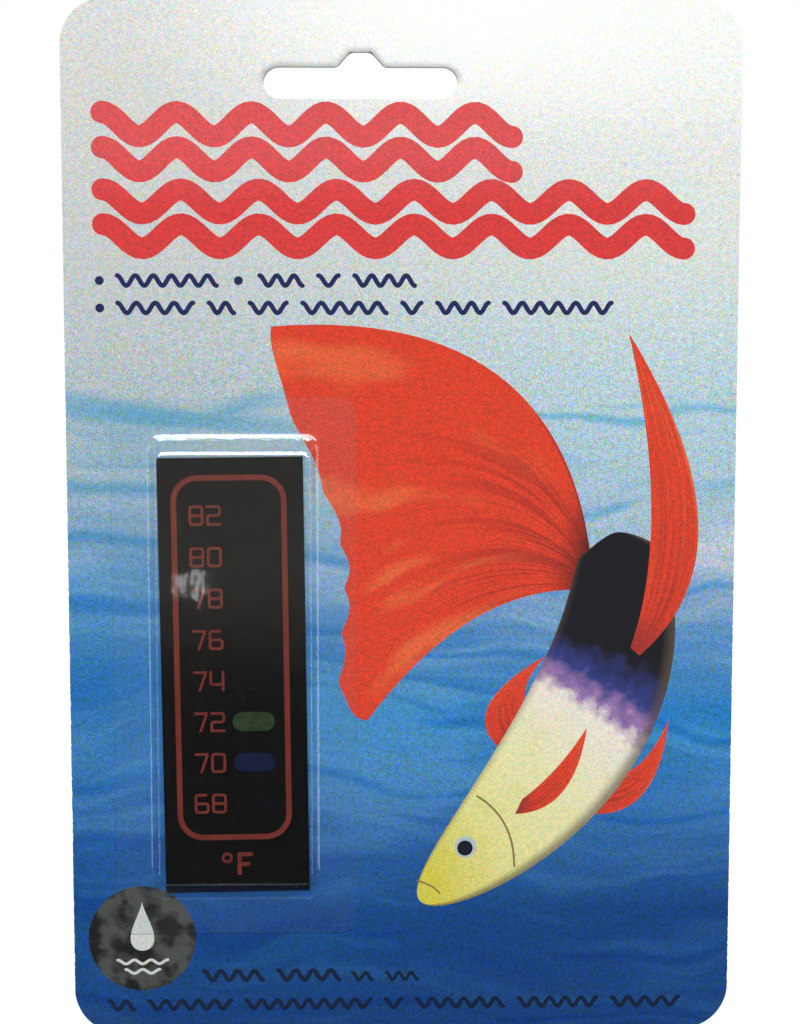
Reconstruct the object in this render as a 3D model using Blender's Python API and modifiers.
"""Carded liquid-crystal aquarium thermometer.

A stick-on strip thermometer lies loose in a shallow clear blister, which is heat-sealed by its flange to a
hang card. The strip is a laminate, from its face to its back: clear film, red scale print, black window mask,
eight liquid-crystal patches, black absorber, adhesive and release liner.

Metres, +Z up. The card stands upright and faces -Y, with the origin at the centre of its back face.
"""

import math

import bmesh
import bpy
from mathutils import Matrix, Vector

MM = 0.001
INCH = 0.0254

# Driving dimensions: the hang card.
CARD_WIDTH = 4.5 * INCH
CARD_HEIGHT = 7.0 * INCH
CARD_THICKNESS = 0.6 * MM
CARD_CORNER_RADIUS = 8.0 * MM

# The hang slot is a stadium with a hump that centres the hook. It sits off the card's centre line, over the
# off-centre weight of the strip.
SLOT_LENGTH = 32.5 * MM
SLOT_HEIGHT = 5.2 * MM
SLOT_OFFSET_X = -7.0 * MM
SLOT_BELOW_TOP = 14.1 * MM
HUMP_RISE = 2.45 * MM
HUMP_BASE_WIDTH = 7.9 * MM
HUMP_TOP_WIDTH = 3.5 * MM
HUMP_BASE_RADIUS = 1.0 * MM
HUMP_TOP_RADIUS = 1.6 * MM

# The blister: a tray with steep sides and gentler ends, thermoformed with its flange from one clear sheet.
BLISTER_CENTRE_X = -28.8 * MM
BLISTER_CENTRE_Z = -24.4 * MM
BLISTER_WIDTH = 28.7 * MM
BLISTER_HEIGHT = 80.4 * MM
BLISTER_RISE = 2.3 * MM
BLISTER_SHEET = 0.25 * MM
BLISTER_BASE_RADIUS = 2.4 * MM
BLISTER_FACE_RADIUS = 1.6 * MM
BLISTER_SIDE_SLOPE = 1.15 * MM
BLISTER_END_SLOPE = 2.8 * MM
FOOT_CREASE = 0.8 * MM
FACE_CREASE = 0.3 * MM
FLANGE_WIDTH = 6.5 * MM
FLANGE_CORNER_RADIUS = 3.0 * MM

# The thermometer strip is a nominal 1 by 3 inches, less what the cutting die trims. It leans to the left in
# the blister, with its lowest corner on the lower wall.
STRIP_TRIM = 0.5 * MM
STRIP_WIDTH = 1.0 * INCH - STRIP_TRIM
STRIP_HEIGHT = 3.0 * INCH - STRIP_TRIM
STRIP_CENTRE_X = -29.0 * MM
STRIP_LEAN = math.radians(0.65)
STRIP_END_CLEARANCE = 0.15 * MM

# Layers of the strip, and the gap that keeps laminated solids apart.
LAYER_GAP = 0.01 * MM
FILM_THICKNESS = 0.18 * MM
INK_THICKNESS = 0.03 * MM
MASK_THICKNESS = 0.04 * MM
CRYSTAL_THICKNESS = 0.04 * MM
ABSORBER_THICKNESS = 0.04 * MM
ADHESIVE_THICKNESS = 0.06 * MM
LINER_THICKNESS = 0.09 * MM
STRIP_TO_CARD_GAP = 0.03 * MM
HEAT_SEAL_THICKNESS = 0.02 * MM

# The printed scale, measured from the strip's edges.
FRAME_LEFT_MARGIN = 2.25 * MM
FRAME_RIGHT_MARGIN = 2.9 * MM
FRAME_TOP_MARGIN = 3.0 * MM
FRAME_BOTTOM_MARGIN = 9.25 * MM
FRAME_LINE = 0.95 * MM
FRAME_RADIUS = 4.5 * MM
TEMPERATURES = (82, 80, 78, 76, 74, 72, 70, 68)
FIRST_ROW_BELOW_TOP = 9.9 * MM
ROW_PITCH = 7.16 * MM
NUMERAL_LEFT_MARGIN = 5.25 * MM
FIGURE_WIDTH = 2.55 * MM
FIGURE_HEIGHT = 3.5 * MM
FIGURE_STROKE = 0.45 * MM
FIGURE_SPACING = 0.45 * MM
WINDOW_LEFT_MARGIN = 12.1 * MM
WINDOW_WIDTH = 7.25 * MM
WINDOW_HEIGHT = 3.35 * MM
CRYSTAL_OVERLAP = 0.4 * MM
UNIT_ABOVE_BOTTOM = 3.0 * MM
UNIT_HEIGHT = 4.0 * MM
UNIT_LETTER_WIDTH = 2.7 * MM
UNIT_STROKE = 0.7 * MM
DEGREE_DIAMETER = 1.9 * MM
UNIT_SPACING = 0.8 * MM

# How the figures' strokes end and bend, and the levels that their inner edges share.
STROKE_END = 0.1 * MM
BEND = 0.65 * MM
INNER_BEND = 0.25 * MM
INNER_RIGHT = FIGURE_WIDTH - FIGURE_STROKE
INNER_TOP = FIGURE_HEIGHT - FIGURE_STROKE
MIDDLE_LOW = (FIGURE_HEIGHT - FIGURE_STROKE) / 2
MIDDLE_HIGH = (FIGURE_HEIGHT + FIGURE_STROKE) / 2

# How closely faceted arcs follow the true curve.
ARC_ERROR = 0.01 * MM
LOFT_CORNER_STEPS = 10

# Depths along Y. Smaller is nearer the viewer, and each layer is built on the one behind it.
CARD_FRONT = -CARD_THICKNESS
HEAT_SEAL_FRONT = CARD_FRONT - LAYER_GAP - HEAT_SEAL_THICKNESS
FLANGE_FRONT = HEAT_SEAL_FRONT - LAYER_GAP - BLISTER_SHEET
LINER_FRONT = CARD_FRONT - STRIP_TO_CARD_GAP - LINER_THICKNESS
ADHESIVE_FRONT = LINER_FRONT - LAYER_GAP - ADHESIVE_THICKNESS
ABSORBER_FRONT = ADHESIVE_FRONT - LAYER_GAP - ABSORBER_THICKNESS
CRYSTAL_FRONT = ABSORBER_FRONT - LAYER_GAP - CRYSTAL_THICKNESS
MASK_FRONT = CRYSTAL_FRONT - LAYER_GAP - MASK_THICKNESS
INK_FRONT = MASK_FRONT - LAYER_GAP - INK_THICKNESS
FILM_FRONT = INK_FRONT - LAYER_GAP - FILM_THICKNESS


def clear_scene():
    for old in list(bpy.data.objects):
        bpy.data.objects.remove(old)


def make_collection(name):
    collection = bpy.data.collections.new(name)
    bpy.context.scene.collection.children.link(collection)
    return collection


def make_material(name, colour, roughness, metallic=0.0, alpha=1.0):
    """A Principled material with a plain colour."""
    material = bpy.data.materials.new(name)
    material.use_nodes = True
    shader = material.node_tree.nodes["Principled BSDF"]
    shader.inputs["Base Color"].default_value = (*colour, 1.0)
    shader.inputs["Roughness"].default_value = roughness
    shader.inputs["Metallic"].default_value = metallic
    shader.inputs["Alpha"].default_value = alpha
    return material


def make_empty(collection, name, location, rotation=(0.0, 0.0, 0.0)):
    empty = bpy.data.objects.new(name, None)
    empty.location = location
    empty.rotation_euler = rotation
    collection.objects.link(empty)
    return empty


# Outlines. A corner is (x, y, radius), and an outline is a closed list of 2D points.


def arc_steps(radius, sweep):
    """How many chords keep an arc within ARC_ERROR of the true curve."""
    chord_angle = 2 * math.acos(1 - min(ARC_ERROR / radius, 1))
    return max(2, math.ceil(sweep / chord_angle))


def rounded_outline(corners, steps=None):
    """The closed outline through the corners, with an arc in place of each corner that has a radius."""
    points = []
    for index, (x, y, radius) in enumerate(corners):
        corner = Vector((x, y))
        if radius == 0:
            points.append(corner)
            continue
        back = (Vector(corners[index - 1][:2]) - corner).normalized()
        ahead = (Vector(corners[(index + 1) % len(corners)][:2]) - corner).normalized()
        half_angle = back.angle(ahead) / 2
        centre = corner + (back + ahead).normalized() * radius / math.sin(half_angle)
        spoke = corner + back * radius / math.tan(half_angle) - centre
        sweep = math.pi - 2 * half_angle
        turn = math.copysign(sweep, ahead.x * back.y - ahead.y * back.x)
        count = steps or arc_steps(radius, sweep)
        for step in range(count + 1):
            points.append(centre + Matrix.Rotation(turn * step / count, 2) @ spoke)
    return drop_repeats(points)


def drop_repeats(points):
    """Two arcs that meet share a point, which is kept once."""
    return [
        point
        for index, point in enumerate(points)
        if (point - points[index - 1]).length > 0.1 * ARC_ERROR
    ]


def rectangle(width, height, radius=0.0, centre=(0.0, 0.0), steps=None):
    """A rectangle round a centre, with rounded corners."""
    x, y = centre
    half_width, half_height = width / 2, height / 2
    corners = [
        (x - half_width, y - half_height, radius),
        (x + half_width, y - half_height, radius),
        (x + half_width, y + half_height, radius),
        (x - half_width, y + half_height, radius),
    ]
    return rounded_outline(corners, steps)


def stadium(width, height, centre=(0.0, 0.0)):
    return rectangle(width, height, height / 2, centre)


def flat_piece(collection, name, outlines, front, thickness, material, parent=None):
    """A sheet in the XZ plane, cut to the first outline, with the others as holes in it.

    front is the world Y of the sheet's front face. The sheet lies in its parent's plane.
    """
    curve = bpy.data.curves.new(name, "CURVE")
    curve.dimensions = "2D"
    curve.fill_mode = "BOTH"
    curve.extrude = thickness / 2
    for outline in outlines:
        spline = curve.splines.new("POLY")
        spline.points.add(len(outline) - 1)
        spline.use_cyclic_u = True
        for point, (x, y) in zip(spline.points, outline):
            point.co = (x, y, 0.0, 1.0)
    curve.materials.append(material)
    piece = bpy.data.objects.new(name, curve)
    collection.objects.link(piece)
    middle = front + thickness / 2
    piece.parent = parent
    piece.location.y = middle - (parent.location.y if parent else 0.0)
    piece.rotation_euler.x = math.radians(90)
    return piece


# The card.


def hang_slot_outline():
    """A stadium with a flat-topped hump on its upper edge, which a shelf hook's wire rests in."""
    end_radius = SLOT_HEIGHT / 2
    left, right = SLOT_OFFSET_X - SLOT_LENGTH / 2, SLOT_OFFSET_X + SLOT_LENGTH / 2
    middle = CARD_HEIGHT / 2 - SLOT_BELOW_TOP
    low, high = middle - SLOT_HEIGHT / 2, middle + SLOT_HEIGHT / 2
    half_base, half_top = HUMP_BASE_WIDTH / 2, HUMP_TOP_WIDTH / 2
    return rounded_outline(
        [
            (left, low, end_radius),
            (right, low, end_radius),
            (right, high, end_radius),
            (SLOT_OFFSET_X + half_base, high, HUMP_BASE_RADIUS),
            (SLOT_OFFSET_X + half_top, high + HUMP_RISE, HUMP_TOP_RADIUS),
            (SLOT_OFFSET_X - half_top, high + HUMP_RISE, HUMP_TOP_RADIUS),
            (SLOT_OFFSET_X - half_base, high, HUMP_BASE_RADIUS),
            (left, high, end_radius),
        ]
    )


def build_card(collection):
    """The die-cut card, and the band of heat-seal lacquer that bonds the blister's flange to it."""
    board = make_material("printed_board", (0.20, 0.42, 0.70), 0.35)
    edge = rectangle(CARD_WIDTH, CARD_HEIGHT, CARD_CORNER_RADIUS)
    flat_piece(
        collection, "backing_card", [edge, hang_slot_outline()], CARD_FRONT, CARD_THICKNESS, board
    )
    lacquer = make_material("heat_seal_lacquer", (0.85, 0.88, 0.90), 0.4, alpha=0.3)
    centre = (BLISTER_CENTRE_X, BLISTER_CENTRE_Z)
    outer = rectangle(
        BLISTER_WIDTH + 2 * FLANGE_WIDTH,
        BLISTER_HEIGHT + 2 * FLANGE_WIDTH,
        FLANGE_CORNER_RADIUS,
        centre,
    )
    inner = rectangle(BLISTER_WIDTH, BLISTER_HEIGHT, BLISTER_BASE_RADIUS, centre)
    flat_piece(
        collection, "heat_seal_band", [outer, inner], HEAT_SEAL_FRONT, HEAT_SEAL_THICKNESS, lacquer
    )


# The blister.


def blister_sections():
    """(width, height, corner radius, rise off the flange) of the tray's outer surface: rim, foot and face."""
    rim = (
        BLISTER_WIDTH + 2 * FLANGE_WIDTH,
        BLISTER_HEIGHT + 2 * FLANGE_WIDTH,
        FLANGE_CORNER_RADIUS,
        0.0,
    )
    foot = (BLISTER_WIDTH, BLISTER_HEIGHT, BLISTER_BASE_RADIUS, 0.0)
    face = (
        BLISTER_WIDTH - 2 * BLISTER_SIDE_SLOPE,
        BLISTER_HEIGHT - 2 * BLISTER_END_SLOPE,
        BLISTER_FACE_RADIUS,
        BLISTER_RISE,
    )
    return rim, foot, face


def blister_surface():
    """The tray's outer surface: its sections joined by walls, with a bevel weight on the two creases."""
    surface = bmesh.new()
    rings = []
    for width, height, radius, rise in blister_sections():
        outline = rectangle(width, height, radius, steps=LOFT_CORNER_STEPS)
        rings.append([surface.verts.new((point.x, -rise, point.y)) for point in outline])
    for outer, inner in zip(rings, rings[1:]):
        for index, corner in enumerate(outer):
            surface.faces.new((outer[index - 1], corner, inner[index], inner[index - 1]))
    surface.faces.new(rings[-1])

    weight = surface.edges.layers.float.new("bevel_weight_edge")
    for ring, crease in zip(rings[1:], (FOOT_CREASE, FACE_CREASE)):
        for index, corner in enumerate(ring):
            surface.edges.get((ring[index - 1], corner))[weight] = crease / FOOT_CREASE
    return surface


def build_blister(collection):
    """The thermoformed tray with its flange. It swings about the left edge of the flange when peeled."""
    half_flange_width = BLISTER_WIDTH / 2 + FLANGE_WIDTH
    hinge_location = (BLISTER_CENTRE_X - half_flange_width, FLANGE_FRONT, BLISTER_CENTRE_Z)
    hinge = make_empty(collection, "blister_hinge", hinge_location)

    mesh = bpy.data.meshes.new("blister_shell")
    surface = blister_surface()
    surface.to_mesh(mesh)
    surface.free()
    mesh.shade_smooth()
    mesh.materials.append(make_material("clear_sheet", (0.93, 0.96, 0.98), 0.08, alpha=0.25))
    shell = bpy.data.objects.new("blister_shell", mesh)
    shell.parent = hinge
    shell.location.x = half_flange_width
    collection.objects.link(shell)

    creases = shell.modifiers.new("soft creases", "BEVEL")
    creases.limit_method = "WEIGHT"
    creases.width = FOOT_CREASE
    creases.segments = 4
    sheet = shell.modifiers.new("sheet thickness", "SOLIDIFY")
    sheet.thickness = BLISTER_SHEET
    sheet.offset = -1.0
    sheet.use_even_offset = True


# The strip's printed figures. Each is a list of an outer outline and its closed counters, in a cell whose
# lower left corner is the origin. Strokes turn in squarish rounded bends.


def counter(low, high):
    """The hole between a figure's left and right strokes, from a low to a high level."""
    return rounded_outline(
        [
            (FIGURE_STROKE, low, INNER_BEND),
            (INNER_RIGHT, low, INNER_BEND),
            (INNER_RIGHT, high, INNER_BEND),
            (FIGURE_STROKE, high, INNER_BEND),
        ]
    )


def full_box():
    """The rounded box round the figures 0 and 8."""
    return rectangle(FIGURE_WIDTH, FIGURE_HEIGHT, BEND, (FIGURE_WIDTH / 2, FIGURE_HEIGHT / 2))


def figure_zero():
    return [full_box(), counter(FIGURE_STROKE, INNER_TOP)]


def figure_two():
    outline = [
        (0.0, FIGURE_HEIGHT, STROKE_END),
        (FIGURE_WIDTH, FIGURE_HEIGHT, BEND),
        (FIGURE_WIDTH, MIDDLE_LOW, BEND),
        (FIGURE_STROKE, MIDDLE_LOW, INNER_BEND),
        (FIGURE_STROKE, FIGURE_STROKE, STROKE_END),
        (FIGURE_WIDTH, FIGURE_STROKE, STROKE_END),
        (FIGURE_WIDTH, 0.0, STROKE_END),
        (0.0, 0.0, STROKE_END),
        (0.0, MIDDLE_HIGH, BEND),
        (INNER_RIGHT, MIDDLE_HIGH, INNER_BEND),
        (INNER_RIGHT, INNER_TOP, INNER_BEND),
        (0.0, INNER_TOP, STROKE_END),
    ]
    return [rounded_outline(outline)]


def figure_four():
    bar = 0.27 * FIGURE_HEIGHT
    outline = [
        (0.0, FIGURE_HEIGHT, STROKE_END),
        (0.0, bar, BEND),
        (INNER_RIGHT, bar, 0.0),
        (INNER_RIGHT, 0.0, STROKE_END),
        (FIGURE_WIDTH, 0.0, STROKE_END),
        (FIGURE_WIDTH, FIGURE_HEIGHT, STROKE_END),
        (INNER_RIGHT, FIGURE_HEIGHT, STROKE_END),
        (INNER_RIGHT, bar + FIGURE_STROKE, 0.0),
        (FIGURE_STROKE, bar + FIGURE_STROKE, INNER_BEND),
        (FIGURE_STROKE, FIGURE_HEIGHT, STROKE_END),
    ]
    return [rounded_outline(outline)]


def figure_six():
    hook = 0.85 * FIGURE_WIDTH
    outline = [
        (0.0, 0.0, BEND),
        (FIGURE_WIDTH, 0.0, BEND),
        (FIGURE_WIDTH, MIDDLE_HIGH, BEND),
        (FIGURE_STROKE, MIDDLE_HIGH, 0.0),
        (FIGURE_STROKE, INNER_TOP, INNER_BEND),
        (hook, INNER_TOP, STROKE_END),
        (hook, FIGURE_HEIGHT, STROKE_END),
        (0.0, FIGURE_HEIGHT, BEND),
    ]
    return [rounded_outline(outline), counter(FIGURE_STROKE, MIDDLE_LOW)]


def figure_seven():
    left = 0.08 * FIGURE_WIDTH
    foot = 0.4 * FIGURE_WIDTH
    outline = [
        (left, FIGURE_HEIGHT, STROKE_END),
        (FIGURE_WIDTH, FIGURE_HEIGHT, STROKE_END),
        (FIGURE_WIDTH, INNER_TOP, 0.0),
        (foot + FIGURE_STROKE, 0.0, STROKE_END),
        (foot, 0.0, STROKE_END),
        (INNER_RIGHT, INNER_TOP, 0.0),
        (left, INNER_TOP, STROKE_END),
    ]
    return [rounded_outline(outline)]


def figure_eight():
    return [full_box(), counter(FIGURE_STROKE, MIDDLE_LOW), counter(MIDDLE_HIGH, INNER_TOP)]


FIGURES = {
    "0": figure_zero,
    "2": figure_two,
    "4": figure_four,
    "6": figure_six,
    "7": figure_seven,
    "8": figure_eight,
}


def unit_letter():
    """The letter F of the Fahrenheit unit mark."""
    width, height, line = UNIT_LETTER_WIDTH, UNIT_HEIGHT, UNIT_STROKE
    arm = 0.56 * height
    outline = [
        (0.0, 0.0, STROKE_END),
        (line, 0.0, STROKE_END),
        (line, arm - line, 0.0),
        (0.8 * width, arm - line, STROKE_END),
        (0.8 * width, arm, STROKE_END),
        (line, arm, 0.0),
        (line, height - line, 0.0),
        (width, height - line, STROKE_END),
        (width, height, STROKE_END),
        (0.0, height, STROKE_END),
    ]
    return [rounded_outline(outline)]


def degree_ring():
    outer = stadium(DEGREE_DIAMETER, DEGREE_DIAMETER)
    hole = DEGREE_DIAMETER - 2 * FIGURE_STROKE
    return [outer, stadium(hole, hole)]


def shifted(outlines, x, y):
    return [[point + Vector((x, y)) for point in outline] for outline in outlines]


def row_height(temperature):
    """The height of a temperature's row above the strip's centre."""
    row = TEMPERATURES.index(temperature)
    return STRIP_HEIGHT / 2 - FIRST_ROW_BELOW_TOP - row * ROW_PITCH


def build_scale_print(collection, strip):
    """The red ink on the back of the film: a frame, a two-figure number on each row, and the unit mark."""
    red = make_material("red_ink", (0.42, 0.07, 0.05), 0.5)
    left, right = FRAME_LEFT_MARGIN - STRIP_WIDTH / 2, STRIP_WIDTH / 2 - FRAME_RIGHT_MARGIN
    low, high = FRAME_BOTTOM_MARGIN - STRIP_HEIGHT / 2, STRIP_HEIGHT / 2 - FRAME_TOP_MARGIN
    width, height = right - left, high - low
    middle = ((left + right) / 2, (low + high) / 2)
    frame = [
        rectangle(width, height, FRAME_RADIUS, middle),
        rectangle(
            width - 2 * FRAME_LINE, height - 2 * FRAME_LINE, FRAME_RADIUS - FRAME_LINE, middle
        ),
    ]
    flat_piece(collection, "scale_frame", frame, INK_FRONT, INK_THICKNESS, red, strip)

    for temperature in TEMPERATURES:
        left = NUMERAL_LEFT_MARGIN - STRIP_WIDTH / 2
        foot = row_height(temperature) - FIGURE_HEIGHT / 2
        for place, figure in zip(("tens", "units"), str(temperature)):
            name = f"numeral_{temperature}_{place}"
            outlines = shifted(FIGURES[figure](), left, foot)
            flat_piece(collection, name, outlines, INK_FRONT, INK_THICKNESS, red, strip)
            left += FIGURE_WIDTH + FIGURE_SPACING

    foot = UNIT_ABOVE_BOTTOM - STRIP_HEIGHT / 2
    mark_width = DEGREE_DIAMETER + UNIT_SPACING + UNIT_LETTER_WIDTH
    ring_x = (DEGREE_DIAMETER - mark_width) / 2
    ring = shifted(degree_ring(), ring_x, foot + UNIT_HEIGHT - DEGREE_DIAMETER / 2)
    letter = shifted(unit_letter(), mark_width / 2 - UNIT_LETTER_WIDTH, foot)
    flat_piece(collection, "unit_degree_ring", ring, INK_FRONT, INK_THICKNESS, red, strip)
    flat_piece(collection, "unit_letter_f", letter, INK_FRONT, INK_THICKNESS, red, strip)


def crystal_colour(temperature):
    """What each patch shows at a water temperature of 72 F: green where it matches, blue just below, and
    otherwise the black of the absorber behind it."""
    shown = {72: (0.05, 0.14, 0.05), 70: (0.01, 0.03, 0.13), 68: (0.008, 0.012, 0.04)}
    return shown.get(temperature, (0.012, 0.012, 0.014))


def build_windows(collection, strip):
    """The black mask with a window on each row, and a liquid-crystal patch behind each window."""
    black = make_material("black_ink", (0.012, 0.012, 0.013), 0.45)
    outline = rectangle(STRIP_WIDTH, STRIP_HEIGHT)
    window_x = WINDOW_LEFT_MARGIN + WINDOW_WIDTH / 2 - STRIP_WIDTH / 2
    windows = [
        stadium(WINDOW_WIDTH, WINDOW_HEIGHT, (window_x, row_height(temperature)))
        for temperature in TEMPERATURES
    ]
    flat_piece(
        collection, "window_mask", [outline, *windows], MASK_FRONT, MASK_THICKNESS, black, strip
    )
    for temperature in TEMPERATURES:
        name = f"crystal_patch_{temperature}"
        patch = stadium(
            WINDOW_WIDTH + 2 * CRYSTAL_OVERLAP,
            WINDOW_HEIGHT + 2 * CRYSTAL_OVERLAP,
            (window_x, row_height(temperature)),
        )
        crystal = make_material(name, crystal_colour(temperature), 0.35)
        flat_piece(collection, name, [patch], CRYSTAL_FRONT, CRYSTAL_THICKNESS, crystal, strip)


def build_plain_layers(collection, strip):
    """The full-size layers: the clear film in front, and the absorber, adhesive and liner at the back."""
    outline = rectangle(STRIP_WIDTH, STRIP_HEIGHT)
    layers = [
        ("front_film", FILM_FRONT, FILM_THICKNESS, (0.90, 0.92, 0.93), 0.08, 0.12),
        ("absorber_layer", ABSORBER_FRONT, ABSORBER_THICKNESS, (0.010, 0.010, 0.011), 0.7, 1.0),
        ("adhesive_layer", ADHESIVE_FRONT, ADHESIVE_THICKNESS, (0.80, 0.76, 0.62), 0.5, 1.0),
        ("release_liner", LINER_FRONT, LINER_THICKNESS, (0.86, 0.84, 0.78), 0.6, 1.0),
    ]
    for name, front, thickness, colour, roughness, alpha in layers:
        material = make_material(name, colour, roughness, alpha=alpha)
        flat_piece(collection, name, [outline], front, thickness, material, strip)


def strip_rest_height():
    """Where the leaning strip's centre lies when its lowest corner rests on the blister's lower wall."""
    wall_angle = math.atan2(BLISTER_RISE, BLISTER_END_SLOPE)
    wall_lean = max(FLANGE_FRONT - FILM_FRONT, 0.0) / math.tan(wall_angle)
    wall_width = BLISTER_SHEET / math.sin(wall_angle)
    wall_foot = BLISTER_CENTRE_Z - BLISTER_HEIGHT / 2
    floor = wall_foot + wall_lean + wall_width + STRIP_END_CLEARANCE
    half_drop = (STRIP_HEIGHT * math.cos(STRIP_LEAN) + STRIP_WIDTH * math.sin(STRIP_LEAN)) / 2
    return floor + half_drop


def build_strip(collection):
    """The laminated thermometer, leaning slightly to the left as it lies loose in the blister."""
    strip = make_empty(
        collection,
        "thermometer_strip",
        (STRIP_CENTRE_X, CARD_FRONT, strip_rest_height()),
        (0.0, -STRIP_LEAN, 0.0),
    )
    build_plain_layers(collection, strip)
    build_windows(collection, strip)
    build_scale_print(collection, strip)


def main():
    clear_scene()
    parts = make_collection("carded_thermometer")
    build_card(parts)
    build_blister(parts)
    build_strip(parts)


main()
